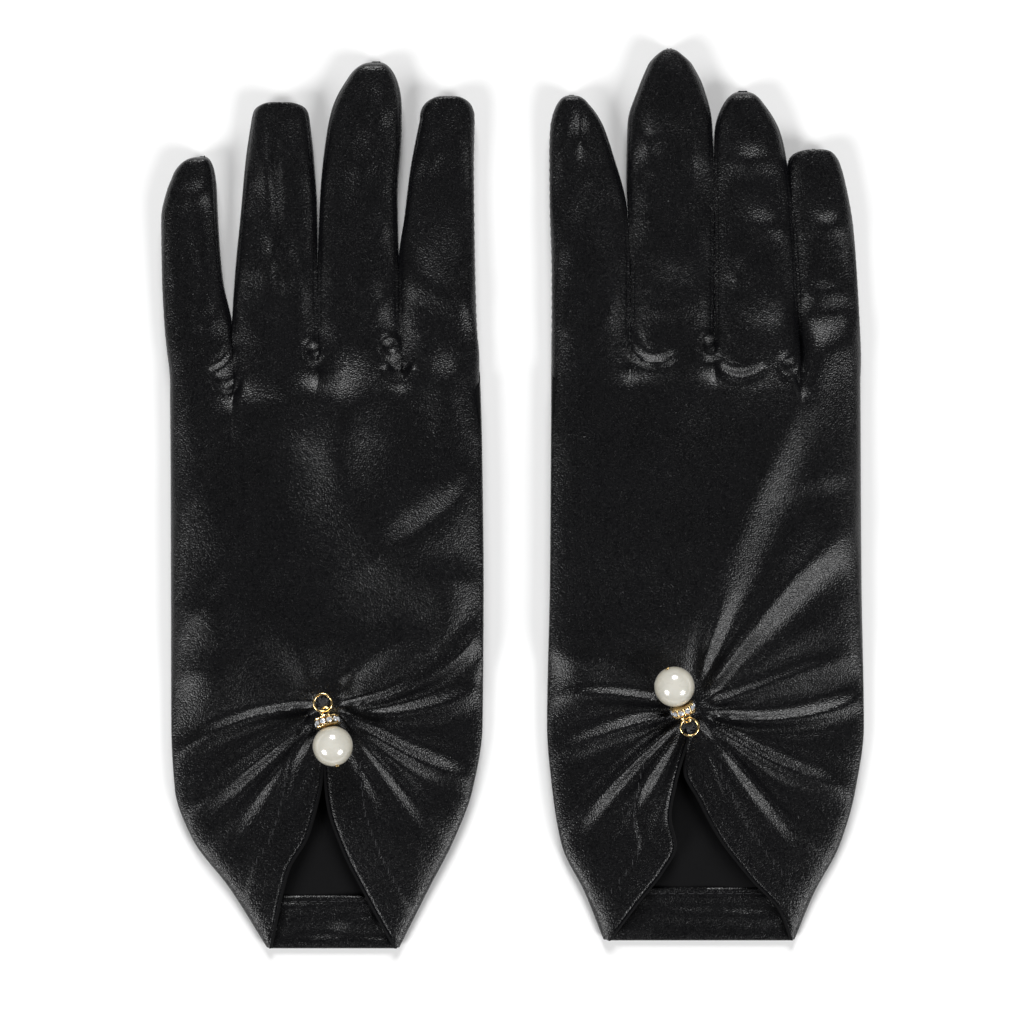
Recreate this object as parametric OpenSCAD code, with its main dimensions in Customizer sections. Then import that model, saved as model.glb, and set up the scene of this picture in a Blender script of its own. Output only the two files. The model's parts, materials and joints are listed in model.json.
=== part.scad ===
// A pair of short satin gloves, lying flat with the backs of the hands up.
// Each glove has a back and a palm panel, four finger tubes lined with side gussets, a thumb
// tucked under the palm, a gathered and slit cuff, and a pearl charm hooked to the gather.
// +Y points to the fingertips, +X to the right, and the gloves lie on z = 0.
// Both gloves share one set of sizes; the lay tables say how each one happens to lie.

/* [Fingers] */
// Width of the index finger at its knuckle, lying flat
index_w = 19.6; // [16:0.1:24]
// Width of the middle finger at its knuckle
middle_w = 20.4; // [16:0.1:25]
// Width of the ring finger at its knuckle
ring_w = 20.6; // [16:0.1:25]
// Width of the little finger at its knuckle
little_w = 15.6; // [13:0.1:20]
// Length of the index finger, knuckle to tip
index_len = 64.5; // [50:0.5:80]
// Length of the middle finger
middle_len = 75.5; // [58:0.5:92]
// Length of the ring finger
ring_len = 65.5; // [50:0.5:80]
// Length of the little finger
little_len = 56; // [42:0.5:68]
// How much lower the little finger's knuckle sits than the others
little_drop = 5; // [2:0.5:9]
// Height of a finger tube as it lies
finger_h = 6.5; // [5.6:0.1:9]
// Gap between neighbouring fingers
crotch_gap = 0.8; // [0.6:0.1:2]
// Share of a finger's length that its side gusset reaches
gusset_reach = 0.86; // [0.6:0.01:0.92]

/* [Hand] */
// Length of the hand and cuff, knuckle line to cuff edge
hand_len = 148; // [120:1:180]
// Height of the hand as it lies, above the tucked thumb
hand_h = 9.8; // [9.4:0.1:14]
// Thickness of the satin with its lining
cloth = 0.6; // [0.4:0.05:0.8]
// Gap between a finger's base and the hand, each side of the knuckle line
hinge_gap = 0.5; // [0.4:0.1:1]
// Gap between the two gloves
glove_gap = 16.6; // [14:0.2:40]
// How far the right glove lies ahead of the centre, and the left one behind it
stagger = 1; // [0:0.5:10]

/* [Thumb] */
// Length of the thumb from the middle of its root to the middle of its tip
thumb_len = 42; // [34:0.5:43]
// Radius of the thumb at its root
thumb_root_r = 12; // [9:0.5:13]
// Radius of the thumb at its tip
thumb_tip_r = 8.5; // [6:0.5:10]
// Height of the flattened thumb
thumb_h = 3.4; // [2.4:0.1:3.8]
// Distance from the glove's middle to the thumb's root
thumb_out = 24; // [18:0.5:26]
// Distance from the knuckle line down to the thumb's root
thumb_down = 60; // [58:0.5:66]
// Radius of the hole where the thumb is sewn to the palm
thumb_hole_r = 8.5; // [6:0.5:9]
// Angle that the thumb lies across the palm
thumb_tuck = 38; // [30:1:45]
// Clearance between the thumb and the palm around it
thumb_gap = 0.3; // [0.3:0.05:0.6]

/* [Cuff] */
// Height of the cuff as it lies
cuff_h = 6; // [5.8:0.1:8]
// Length of the tapered end of the cuff
taper_len = 47; // [36:1:56]
// Length of the slit, cuff edge to its top
slit_len = 47; // [36:1:56]
// Width of the strip left beside the slit at the cuff edge
slit_lip = 1.6; // [1.4:0.1:4]
// Width of the facing sewn inside the slit's edges
facing_w = 3.2; // [2:0.1:5]
// Depth of the turned-up hem inside the palm side of the cuff
hem_depth = 13; // [8:0.5:20]

/* [Charm] */
// Radius of the pearl bead
pearl_r = 5; // [3.5:0.1:6]
// Radius of the rondelle's two flanges
rondelle_r = 3.2; // [2.6:0.1:3.8]
// Thickness of the rondelle along the pin
rondelle_t = 2.5; // [2:0.1:3.2]
// Number of stones set round the rondelle
stone_count = 10; // [6:1:10]
// Radius of one stone
stone_r = 0.72; // [0.5:0.01:0.75]
// Radius of the gold wire
wire_r = 0.3; // [0.2:0.01:0.35]
// Radius of the eye at the end of the pin
eye_r = 1; // [0.9:0.05:1.3]
// Radius of the ring that joins the eye to the thread
ring_r = 2.2; // [2.1:0.1:3]
// Upward slope of the pin, in degrees
pin_slope = 15; // [10:1:20]
// Clearance between the charm and the cloth under it
charm_gap = 0.3; // [0.3:0.05:0.8]

/* [Hidden] */
$fn = 48;
GLOVES = ["left", "right"];
FINGERS = ["index", "middle", "ring", "little"];
PIECES = [
    "back_panel", "palm_panel", "palm_over_thumb", "wrist_hem", "slit_facing_thumb_side",
    "slit_facing_little_side", "gather_tack", "jump_ring", "eye_pin", "rondelle",
    "rondelle_stones", "pearl", "thumb_back", "thumb_palm",
    for (f = FINGERS) for (p = ["back", "palm"]) str(f, "_finger_", p),
    "index_gusset", "middle_gusset_thumb_side", "middle_gusset_little_side",
    "ring_gusset_thumb_side", "ring_gusset_little_side", "little_gusset"];
NODES = [for (g = GLOVES) for (p = PIECES) str(g, "_", p)];
node = "all";

// Every glove is drawn as a left one, thumb side at +X, and the right one is mirrored.
// Finger rows of each lay table, index to little: where the middle strip sits along the
// length, its shift and width, then the tip's shift, width, corner radius and shoulder drop.
FINGER_LAY = [
    [[0.78, -0.3, 15.6, 1.2, 13.4, 4.5, 1], [0.75, 0.5, 18.4, 2.4, 14.4, 5.2, 1.5],
     [0.72, 0.3, 17.7, 1, 14.4, 4, 0.6], [0.70, -2.9, 14.2, -1.6, 10, 3.2, 1]],
    [[0.78, 2, 16, 3.8, 12, 4.6, 1.5], [0.76, 0.3, 19.4, 0.4, 13.6, 2.6, 6],
     [0.80, 2.4, 17.4, 2.7, 13, 4.6, 1.5], [0.78, 2.8, 15.2, 3.3, 12, 3.4, 1]]];
// Cuff rows: width and shift halfway down the taper, width and shift of the edge.
CUFF_LAY = [[63, -1.6, 33.4, 1.7], [70, 0.8, 47.5, 1.5]];
// Charm rows: place of the gather from the middle of the slit top, and the charm's heading.
CHARM_LAY = [[-0.6, 15, -76], [4.5, 7, 69]];
// Slit rows: place of the slit's top across the glove.
SLIT_LAY = [-0.9, 4.7];

finger_w = [index_w, middle_w, ring_w, little_w];
finger_len = [index_len, middle_len, ring_len, little_len];
hand_w = index_w + middle_w + ring_w + little_w + 3 * crotch_gap;
glove_len = hand_len + middle_len;
knuckle_y = glove_len / 2 - middle_len;
cuff_y = -glove_len / 2;
slit_y = cuff_y + slit_len;
roof_z = thumb_h + thumb_gap;
seam_z = roof_z + cloth;
finger_seam_z = finger_h / 2;
eps = 0.01;
tall = 40;

// Fingers run from the thumb side, so each centre is measured back from +X.
function width_before(f) = f == 0 ? 0 : width_before(f - 1) + finger_w[f - 1] + crotch_gap;
function column_x(f) = hand_w / 2 - width_before(f) - finger_w[f] / 2;
function base_y(f) = knuckle_y - (f == 3 ? little_drop : 0);

// Where each glove lies, so that the pair is centred on the origin.
left_reach = max(hand_w / 2,
    FINGER_LAY[0][3][2] / 2 - column_x(3) - FINGER_LAY[0][3][1]);
pair_w = left_reach + hand_w / 2 + glove_gap + hand_w;
glove_x = [left_reach - pair_w / 2, pair_w / 2 - hand_w / 2];
glove_y = [-stagger, stagger];

// Thumb: root, the angles it swings through and the recess in the palm that it lies in.
thumb_at = [thumb_out, knuckle_y - thumb_down];
recess_x = thumb_at.x - thumb_len * sin(thumb_tuck) - thumb_tip_r - 2 * thumb_gap;
recess_y = [thumb_at.y - thumb_root_r - 2 * thumb_gap,
            thumb_at.y + thumb_len + thumb_tip_r + 2 * thumb_gap];

// Height of the back of the hand along Y: level over the thumb, low at knuckles and cuff.
swell = 6;
BACK_PROFILE = [
    [cuff_y - 1, cuff_h], [recess_y[0] - swell, cuff_h], [recess_y[0], hand_h],
    [recess_y[1], hand_h], [knuckle_y - little_drop - 2, finger_h], [knuckle_y + 1, finger_h]];

// Charm: the pin slopes up from the ring's wire to the pearl resting over the cloth.
rondelle_at = eye_r + wire_r + 0.2 + rondelle_t / 2;
pearl_at = rondelle_at + rondelle_t / 2 + pearl_r;
pearl_z = cuff_h + charm_gap + pearl_r;
ring_z = pearl_z - pearl_at * sin(pin_slope);
post_r = ring_r - eye_r - 2 * wire_r;
pin_gap = 0.05;
flange_t = 0.45;
function gather_at(g) = [CHARM_LAY[g][0], slit_y + CHARM_LAY[g][1]];

function shown(g, piece) = node == "all" || node == str(GLOVES[g], "_", piece);

module place(g) {
    translate([glove_x[g], glove_y[g], 0]) mirror([g, 0, 0]) children();
}

// ---- outlines ----

module finger_outline(g, f) {
    lay = FINGER_LAY[g][f];
    w = finger_w[f];
    len = finger_len[f];
    corner = lay[5];
    translate([column_x(f), base_y(f)]) hull() {
        translate([-w / 2, hinge_gap]) square([w, eps]);
        translate([lay[1] - lay[2] / 2, len * lay[0]]) square([lay[2], eps]);
        for (side = [-1, 1])
            translate([lay[3] + side * (lay[4] / 2 - corner), len - corner - lay[6]])
                circle(corner, $fn = 32);
        translate([lay[3], len - corner]) circle(corner, $fn = 32);
    }
}

module finger_rim(g, f) {
    w = finger_w[f] - 2 * cloth;
    difference() {
        finger_outline(g, f);
        offset(delta = -cloth) finger_outline(g, f);
        translate([column_x(f) - w / 2, base_y(f)]) square([w, 2]);
    }
}

// The stretch of a finger's side that a gusset lines: side is 1 on the thumb side.
module gusset_zone(f, side) {
    translate([column_x(f) + (side > 0 ? 0 : -hand_w), base_y(f)])
        square([hand_w, finger_len[f] * gusset_reach]);
}

module gusset_zones(f) {
    if (f > 0) gusset_zone(f, 1);
    if (f < 3) gusset_zone(f, -1);
}

module hand_outline(g) {
    lay = CUFF_LAY[g];
    taper_y = cuff_y + taper_len;
    front = knuckle_y - hinge_gap;
    difference() {
        translate([-hand_w / 2, taper_y]) square([hand_w, front - taper_y]);
        translate([-hand_w / 2 - 1, front - little_drop])
            square([little_w + crotch_gap + 1, little_drop + 1]);
    }
    hull() {
        translate([-hand_w / 2, taper_y]) square([hand_w, eps]);
        translate([lay[1] - lay[0] / 2, cuff_y + taper_len * 0.45]) square([lay[0], eps]);
        translate([lay[3] - lay[2] / 2, cuff_y]) square([lay[2], eps]);
    }
}

module hand_rim(g) {
    lay = CUFF_LAY[g];
    difference() {
        hand_outline(g);
        offset(delta = -cloth) hand_outline(g);
        for (f = [0:3])
            translate([column_x(f) - finger_w[f] / 2 + cloth, base_y(f) - 3])
                square([finger_w[f] - 2 * cloth, 4]);
        translate([lay[3] - lay[2] / 2 + 2 * cloth, cuff_y - 1])
            square([lay[2] - 4 * cloth, 3]);
    }
}

// The slit opens from its top to the whole width of the cuff edge, less a strip each side.
module slit_outline(g) {
    lay = CUFF_LAY[g];
    half = lay[2] / 2 - slit_lip;
    polygon([
        [SLIT_LAY[g], slit_y],
        [lay[3] - half, cuff_y - eps],
        [lay[3] + half, cuff_y - eps]]);
}

module thumb_recess(grow) {
    translate([recess_x - grow, recess_y[0] - grow])
        square([hand_w - recess_x, recess_y[1] - recess_y[0] + 2 * grow]);
}

module thumb_outline() {
    translate(thumb_at) rotate(thumb_tuck) hull() {
        circle(thumb_root_r);
        translate([0, thumb_len]) circle(thumb_tip_r);
    }
}

// ---- the back of the hand as a bent slab ----

module under_profile(drop, from_z) {
    top = [for (p = BACK_PROFILE) [p.x, p.y - drop]];
    rotate([90, 0, 90]) linear_extrude(2 * hand_w, center = true)
        polygon(concat([[top[0].x, from_z]], top, [[top[len(top) - 1].x, from_z]]));
}

module profile_skin() {
    top = [for (p = BACK_PROFILE) [p.x, p.y]];
    under = [for (i = [len(BACK_PROFILE) - 1:-1:0]) BACK_PROFILE[i] - [0, cloth]];
    rotate([90, 0, 90]) linear_extrude(2 * hand_w, center = true)
        polygon(concat(top, under));
}

// ---- hand pieces ----

module back_panel(g) color("#1b1b1f") {
    difference() {
        intersection() {
            linear_extrude(tall) hand_outline(g);
            profile_skin();
        }
        linear_extrude(tall) slit_outline(g);
    }
    intersection() {
        linear_extrude(tall) hand_rim(g);
        under_profile(cloth, seam_z);
    }
}

module palm_panel(g) color("#17171a") {
    linear_extrude(cloth) difference() {
        hand_outline(g);
        thumb_recess(0);
    }
    linear_extrude(seam_z) difference() {
        hand_rim(g);
        thumb_recess(cloth);
    }
}

// The palm cloth where it is lifted over the tucked thumb, with the hole the thumb opens into.
module palm_over_thumb(g) color("#1a1a1e") {
    translate([0, 0, cloth]) linear_extrude(seam_z - cloth) intersection() {
        hand_outline(g);
        difference() {
            thumb_recess(cloth);
            thumb_recess(0);
        }
    }
    translate([0, 0, roof_z]) linear_extrude(cloth) difference() {
        intersection() {
            hand_outline(g);
            thumb_recess(0);
        }
        translate(thumb_at) circle(thumb_hole_r);
    }
}

module wrist_hem(g) color("#0e0e10") {
    translate([0, 0, cloth]) linear_extrude(cloth) intersection() {
        offset(delta = -cloth) hand_outline(g);
        translate([-hand_w, cuff_y]) square([2 * hand_w, hem_depth]);
    }
}

module slit_facing(g, side) color("#101013") {
    translate([0, 0, cuff_h - 2 * cloth]) linear_extrude(cloth) intersection() {
        difference() {
            offset(delta = facing_w) slit_outline(g);
            slit_outline(g);
        }
        offset(delta = -cloth) hand_outline(g);
        translate([SLIT_LAY[g] + (side > 0 ? 0 : -hand_w), cuff_y])
            square([hand_w, slit_len]);
    }
}

module gather_tack(g) color("#26262b") {
    spread = 2.4;
    translate([gather_at(g).x, gather_at(g).y, cuff_h]) {
        cylinder(h = 0.9, r1 = spread, r2 = post_r);
        cylinder(h = ring_z + wire_r - cuff_h, r = post_r);
    }
}

// ---- fingers and thumb ----

module finger_back(g, f) color("#1e1e22") {
    translate([0, 0, finger_h - cloth]) linear_extrude(cloth) finger_outline(g, f);
    translate([0, 0, finger_seam_z]) linear_extrude(finger_h - cloth - finger_seam_z)
        difference() {
            finger_rim(g, f);
            gusset_zones(f);
        }
}

module finger_palm(g, f) color("#17171a") {
    linear_extrude(cloth) finger_outline(g, f);
    linear_extrude(finger_seam_z) difference() {
        finger_rim(g, f);
        gusset_zones(f);
    }
}

module gusset(g, f, side) color("#25252a") {
    translate([0, 0, cloth]) linear_extrude(finger_h - 2 * cloth) intersection() {
        finger_rim(g, f);
        gusset_zone(f, side);
    }
}

module thumb_back() color("#1e1e22") {
    translate([0, 0, thumb_h - cloth]) linear_extrude(cloth) difference() {
        thumb_outline();
        translate(thumb_at) circle(thumb_hole_r);
    }
}

module thumb_palm() color("#17171a") {
    linear_extrude(cloth) thumb_outline();
    linear_extrude(thumb_h - cloth) difference() {
        thumb_outline();
        offset(delta = -cloth) thumb_outline();
    }
}

// ---- charm ----

// The ring's own frame: its middle on the thread, +X towards the pearl.
module at_ring(g) {
    translate([gather_at(g).x, gather_at(g).y, ring_z]) rotate(CHARM_LAY[g][2]) children();
}

// The pin's frame: the eye's middle at the origin, +Z along the pin to the pearl.
module at_pin(g) {
    at_ring(g) translate([ring_r, 0, 0]) rotate([0, 90 - pin_slope, 0]) children();
}

module jump_ring(g) color("#d9b36a") at_ring(g) {
    rotate_extrude() translate([ring_r, 0]) circle(wire_r, $fn = 24);
}

module eye_pin(g) color("#d9b36a") at_pin(g) {
    head_t = 0.4;
    rotate([90, 0, 0]) rotate_extrude() translate([eye_r, 0]) circle(wire_r, $fn = 24);
    translate([0, 0, eye_r]) cylinder(h = pearl_at + pearl_r - eye_r, r = wire_r);
    translate([0, 0, pearl_at + pearl_r]) cylinder(h = head_t, r = 2.6 * wire_r);
}

module rondelle(g) color("#caa35a") at_pin(g) {
    translate([0, 0, rondelle_at - rondelle_t / 2]) difference() {
        union() {
            cylinder(h = flange_t, r = rondelle_r);
            cylinder(h = rondelle_t, r = rondelle_r - 2 * stone_r + 0.1);
            translate([0, 0, rondelle_t - flange_t]) cylinder(h = flange_t, r = rondelle_r);
        }
        translate([0, 0, -1]) cylinder(h = rondelle_t + 2, r = wire_r + pin_gap);
        stones(rondelle_t / 2, stone_r + pin_gap);
    }
}

module stones(z, r) {
    for (i = [0:stone_count - 1])
        rotate(i * 360 / stone_count) translate([rondelle_r - stone_r, 0, z]) sphere(r);
}

module rondelle_stones(g) color("#e8eef2") at_pin(g) {
    stones(rondelle_at, stone_r);
}

module pearl(g) color("#efe8da") at_pin(g) {
    translate([0, 0, pearl_at]) difference() {
        sphere(pearl_r);
        translate([0, 0, -pearl_r - 1]) cylinder(h = 2 * pearl_r + 2, r = wire_r + pin_gap);
    }
}

// ---- everything ----

for (g = [0, 1]) place(g) {
    if (shown(g, "back_panel")) back_panel(g);
    if (shown(g, "palm_panel")) palm_panel(g);
    if (shown(g, "palm_over_thumb")) palm_over_thumb(g);
    if (shown(g, "wrist_hem")) wrist_hem(g);
    if (shown(g, "slit_facing_thumb_side")) slit_facing(g, 1);
    if (shown(g, "slit_facing_little_side")) slit_facing(g, -1);
    if (shown(g, "gather_tack")) gather_tack(g);
    if (shown(g, "jump_ring")) jump_ring(g);
    if (shown(g, "eye_pin")) eye_pin(g);
    if (shown(g, "rondelle")) rondelle(g);
    if (shown(g, "rondelle_stones")) rondelle_stones(g);
    if (shown(g, "pearl")) pearl(g);
    if (shown(g, "thumb_back")) thumb_back();
    if (shown(g, "thumb_palm")) thumb_palm();
    for (f = [0:3]) {
        if (shown(g, str(FINGERS[f], "_finger_back"))) finger_back(g, f);
        if (shown(g, str(FINGERS[f], "_finger_palm"))) finger_palm(g, f);
    }
    if (shown(g, "index_gusset")) gusset(g, 0, -1);
    if (shown(g, "middle_gusset_thumb_side")) gusset(g, 1, 1);
    if (shown(g, "middle_gusset_little_side")) gusset(g, 1, -1);
    if (shown(g, "ring_gusset_thumb_side")) gusset(g, 2, 1);
    if (shown(g, "ring_gusset_little_side")) gusset(g, 2, -1);
    if (shown(g, "little_gusset")) gusset(g, 3, 1);
}
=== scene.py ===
"""A pair of short black satin gloves, lying flat with the backs of the hands up.

Shapes are worked out in millimetres in a glove's own frame, drawn as a left glove: s runs to
the thumb side, y to the fingertips and z up. Glove.world() turns them into the row frame.
"""
import json
import math

import bmesh
import bpy
import numpy as np
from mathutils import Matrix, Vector


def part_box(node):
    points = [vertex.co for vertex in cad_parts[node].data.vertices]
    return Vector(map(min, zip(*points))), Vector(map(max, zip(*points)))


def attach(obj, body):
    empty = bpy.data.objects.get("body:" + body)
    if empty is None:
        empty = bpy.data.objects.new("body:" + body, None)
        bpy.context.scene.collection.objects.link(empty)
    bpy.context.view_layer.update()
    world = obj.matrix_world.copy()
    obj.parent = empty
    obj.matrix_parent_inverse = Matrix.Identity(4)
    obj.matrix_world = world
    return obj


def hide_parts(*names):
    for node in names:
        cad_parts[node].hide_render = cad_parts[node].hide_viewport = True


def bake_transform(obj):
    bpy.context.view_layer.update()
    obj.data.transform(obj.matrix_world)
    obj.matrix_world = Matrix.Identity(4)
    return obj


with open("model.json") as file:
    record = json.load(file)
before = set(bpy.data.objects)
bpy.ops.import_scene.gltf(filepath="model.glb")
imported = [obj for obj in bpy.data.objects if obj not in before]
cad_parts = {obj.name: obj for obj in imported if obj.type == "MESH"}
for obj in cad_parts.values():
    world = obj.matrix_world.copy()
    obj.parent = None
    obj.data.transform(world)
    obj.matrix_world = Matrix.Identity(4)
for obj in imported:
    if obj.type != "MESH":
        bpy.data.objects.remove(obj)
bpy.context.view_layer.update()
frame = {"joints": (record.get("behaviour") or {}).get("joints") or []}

MM = 0.001
JOINTS = {j["name"]: j for j in frame["joints"]}
FINGERS = ["index", "middle", "ring", "little"]
CUFF_Y = -111.75            # the cuff's edge in a glove's own frame, mm

# ---- how each glove lies ----

# Finger rows: (y above its knuckle, left edge, right edge) from the finger's middle, then the
# finger's length, the tip's shift, how long its rounding is and how square it is.
# Hand rows: (y, little-side edge, thumb-side edge). Lip rows: (y, s) down the slit's edges.
# Gather: s and y of the tack that holds the pleats together.
# Pleat rows, from the gather: heading, start, length, half width at its end, height, bend.
# Dent rows: finger, s and y of its middle, heading, half length, half width, depth.
# Fold rows: s and y of its middle, heading, half length, half width, height.
# Loop rows: s and y of its middle, radius, first and last angle, height, width.
# Parting rows: where two neighbouring fingers begin to part and where they are apart.
LEFT = dict(
    fingers=[
        ([(0, -10.3, 8.8), (12, -11.5, 8.2), (24, -11.5, 7.9), (36, -10, 7.7), (48, -8.5, 7.6),
          (60, -6.2, 7.8)], 65.9, 1.2, 6, 2.5),
        ([(0, -10.5, 10.4), (12, -11.05, 9.5), (24, -10.95, 9.4), (41, -10.4, 9.1),
          (57, -8.7, 10.1), (70, -5.5, 10.2)], 74.6, 3.8, 13, 2.2),
        ([(0, -10.8, 10.9), (8, -11.2, 10.6), (20, -10.6, 10.3), (36, -9.1, 10.2), (50, -7.8, 9.4),
          (61, -6.2, 8.2)], 64.2, 1.2, 5, 3.2),
        ([(0, -8.1, 8.3), (6, -8.7, 8.1), (13, -9.4, 7.8), (25, -10, 5.4), (40, -10.2, 4.2),
          (50, -8, 3.8)], 55.8, 0.6, 9, 2.2)],
    hand=[(37, -39.4, 38.3), (15, -39.3, 39.0), (-20, -39.2, 39.4), (-56, -39.1, 39.1),
          (-72, -38.2, 36.6), (-84, -34, 32.2), (-97, -24.4, 25.6), (CUFF_Y, -15.2, 18.2)],
    lips=([(-58, -0.7), (-66, -1.2), (-83, -5), (-92, -10), (CUFF_Y, -14.6)],
          [(-58, -0.5), (-70, 0.2), (-76, 0.9), (-87, 4.6), (-97, 9.6), (CUFF_Y, 17.6)]),
    gather=(0.75, -51),
    pleats=[(0, 1, 64, 3.4, 1.6, 40), (-14, 2, 56, 4.4, 1.1, 30), (-36, 1, 48, 2.9, 1.4, 10),
            (-45, 2, 48, 2.7, 1.1, -4), (-61, 5, 34, 2.2, 0.7, 2), (180, 1, 52, 3.1, 1.4, 22),
            (217, 1, 52, 2.9, 1.4, 0), (229, 2, 48, 2.7, 1.2, 2), (233, 3, 35, 2.2, 0.8, 9),
            (120, 6, 36, 8, 0.5, 0), (60, 5, 30, 6, 1.3, -16)],
    dents=[(0, -3.5, 50, 60, 5, 3.5, -0.8), (0, 0.5, 15, 145, 11, 4.5, -1.2),
           (0, 2, 33, 100, 9, 4, 0.5), (1, 4.8, 62, 100, 4.5, 3, -0.8),
           (1, 1, 50, 75, 7, 2.8, -0.8), (1, 5, 33, 80, 4, 2.6, -0.7),
           (1, 4.2, 12.5, 60, 6, 3.2, -0.9), (1, -4, 30, 95, 16, 3.5, 0.5),
           (2, 0.4, 38, 91, 26, 0.9, 0.9), (2, -2.4, 47, 95, 7, 2.2, -0.9),
           (2, -2, 24, 80, 5, 2.6, -0.7), (2, 6, 20, 100, 6, 2.2, -0.7),
           (3, -0.7, 45.5, 30, 4, 2.6, -0.8), (3, 2.2, 14, 50, 4.5, 3, -0.8),
           (3, -3, 28, 98, 12, 2.6, 0.5)],
    folds=[(25.7, -5.8, 38, 21, 4.4, 2.4), (32, -20, -10, 9, 4, 1.6), (-29, -26, 40, 9, 4.5, 1.7),
           (-31, 2, 50, 12, 5, 1.2), (5, 24, -6, 9, 9, 3.3), (30, 30, 14, 8, 6, 1.9),
           (-19, 24, -8, 9, 5, 1.1), (-30, -43, 10, 10, 5, 1.3)],
    loops=[(16, 39.2, 2.2, 0, 360, 0.8, 0.9), (18.3, 35.0, 3.6, 195, 345, 0.8, 1.0),
           (-3.2, 38.2, 2.0, 0, 360, 0.8, 0.9), (-25.3, 31.6, 3.0, 170, 380, 0.6, 1.0),
           (-30.5, 40.5, 8, 285, 345, 0.8, 1.0)],
    parting=[(20, 28), (22, 32), (5, 13)],
    seed=11)
RIGHT = dict(
    fingers=[
        ([(0, -10.1, 9.4), (20, -10.45, 9.4), (36, -9.6, 9.9), (50, -6, 10), (62, -1.8, 9.4)],
         64.2, 4.3, 9, 2.2),
        ([(0, -10.5, 10.4), (20, -10.7, 10.25), (36, -10.65, 11.05), (42, -10.6, 11.3),
          (57, -10.3, 11), (66, -8.2, 8.3), (75, -3.4, 4.4)], 75.8, 0.6, 4, 1.8),
        ([(0, -10.7, 10.6), (16, -10.2, 10.5), (36, -8.9, 10.55), (50, -7.3, 10.7), (62, -3.8, 10)],
         65.2, 3.4, 11, 2.1),
        ([(0, -7.8, 8.1), (20, -6.8, 8.8), (36, -5.6, 9.9), (48, -3.4, 11.2), (54, -1.6, 10.9)],
         55.4, 3.5, 4.5, 3)],
    hand=[(37, -38.8, 38.8), (-20, -39.1, 39.2), (-58, -39.7, 39.9), (-74, -37.6, 38.6),
          (-88, -33.6, 36.2), (-100, -27.3, 30.4), (CUFF_Y, -22.4, 25.7)],
    lips=([(-60, 4.5), (-69, 5), (-76, 1.6), (-85, -3.2), (-96, -11.6), (-104, -18.9),
           (CUFF_Y, -22)],
          [(-60, 4.7), (-73, 8.4), (-81, 9.6), (-88, 8.2), (-94, 11.2), (-102, 17.4),
           (CUFF_Y, 24.6)]),
    gather=(3.2, -54),
    pleats=[(18, 1, 40, 3.0, 1.3, -14), (-10, 1, 42, 3.0, 1.3, -9), (-37, 1, 52, 2.9, 1.5, -8),
            (-54, 2, 38, 2.4, 1.0, -1), (-72, 3, 34, 2.2, 0.9, 0), (101, 6, 34, 3.0, 0.8, 6),
            (121, 5, 60, 5.5, 1.6, 8), (161, 3, 50, 3.6, 1.0, 0), (196, 1, 56, 3.1, 1.4, -26),
            (219, 1, 52, 2.9, 1.4, -14), (231, 1, 52, 2.8, 1.4, -2), (243, 5, 32, 2.3, 0.7, 2)],
    dents=[(0, 2.2, 53.7, 92, 5, 1.9, 1.5), (0, 0.5, 35, 110, 9, 3, -0.8),
           (0, -5, 8, 100, 7, 3, -0.7), (1, 6, 52, 80, 4, 2.6, -0.8), (1, 6, 41, 90, 4, 2.5, -0.7),
           (1, -5, 54, 92, 9, 2.2, -0.7), (1, 2, 9, 0, 5, 3, -1.0), (1, -3, 30, 85, 14, 3, 0.5),
           (2, 1.5, 47, 0, 5, 3.2, -1.1), (2, -2, 31, 20, 5, 3, -0.9), (2, 5, 19, 60, 5, 2.6, -0.8),
           (3, 1, 36, 0, 4, 2.6, -0.8), (3, 1.5, 19, 0, 5, 3, -0.9)],
    folds=[(-15, 9.0, 114.7, 52, 7.6, 3.7), (-25.8, -15.6, 141, 20, 5.5, 2.2),
           (-27.5, 4.5, 165, 8, 4, 1.1), (34, -42, 8, 9, 5, 1.5), (13, 27, 0, 7, 5, 0.9),
           (-9, 26, 0, 8, 5, 0.9), (33, 12, 20, 6, 4, 0.8)],
    loops=[(13, 39, 6.0, -140, 20, 0.75, 1.3), (-8.3, 36.6, 7.2, -135, -40, 0.75, 1.2),
           (-0.8, 37.6, 2.4, 0, 360, 0.7, 0.9), (-20.8, 32, 2.4, 0, 360, 0.7, 0.9)],
    parting=[(30, 42), (46, 60), (40, 52)],
    seed=29)

# ---- sizes that both gloves share, mm ----

CLOTH = 0.5                 # thickness
LIFT = 0.12                 # how far the cloth stands off the table
FINGER_TOP = [6.3, 6.4, 6.3, 5.9]
FINGER_SEAM_Z = 2.5
VALLEY_Z = 4.2              # height of the valley between two fingers at the hand's front edge
EDGE_Z = 2.4
RAISED_EDGE_Z = 4.5         # the side seam where the thumb lies under it
ROOF_Z = 3.8                # underside of the palm cloth over the thumb
BACK_ROWS = [(CUFF_Y, 2.9), (-100, 4.0), (-86, 4.5), (-70, 4.4), (-58, 3.9), (-50, 4.1),
             (-42, 5.2), (-33, 6.3), (-10, 6.7), (15, 6.7), (28, 6.5), (34, 6.35)]
TACKED_TOP = 5.9            # highest the gathered cloth may stand under the pearl
HEM_DEPTH = 13
FACING = 3.2                # how far the slit's edges turn under
BAND = 8.6                  # width of the faced band that shows beside the slit
GENTLE = 2.4                # how much wider a fold's gentle side is than its steep one
BEND = 3.0                  # BEND = 3.0 # the hand's front edge stops and a finger's cloth starts this far behind its knuckle line
PLEAT_HEIGHT = 0.9          # share of the pleat rows' heights that is built
SKIN_ROW = 0.6              # spacing of the hand's rows of vertices
FINGER_ROW = 0.8            # and of a finger's
VALLEY_POWER = 0.95         # how a finger's section meets a valley
SEAM_POWER = 0.5            # and how it meets a seam of its own
LITTLE_HALF = 7.8           # half width of the little finger's root
WALL_ROOM = 0.4             # between that and the wall beside it
HOLE_R = 8.5                # the round hole in the palm that the thumb is sewn to
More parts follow.
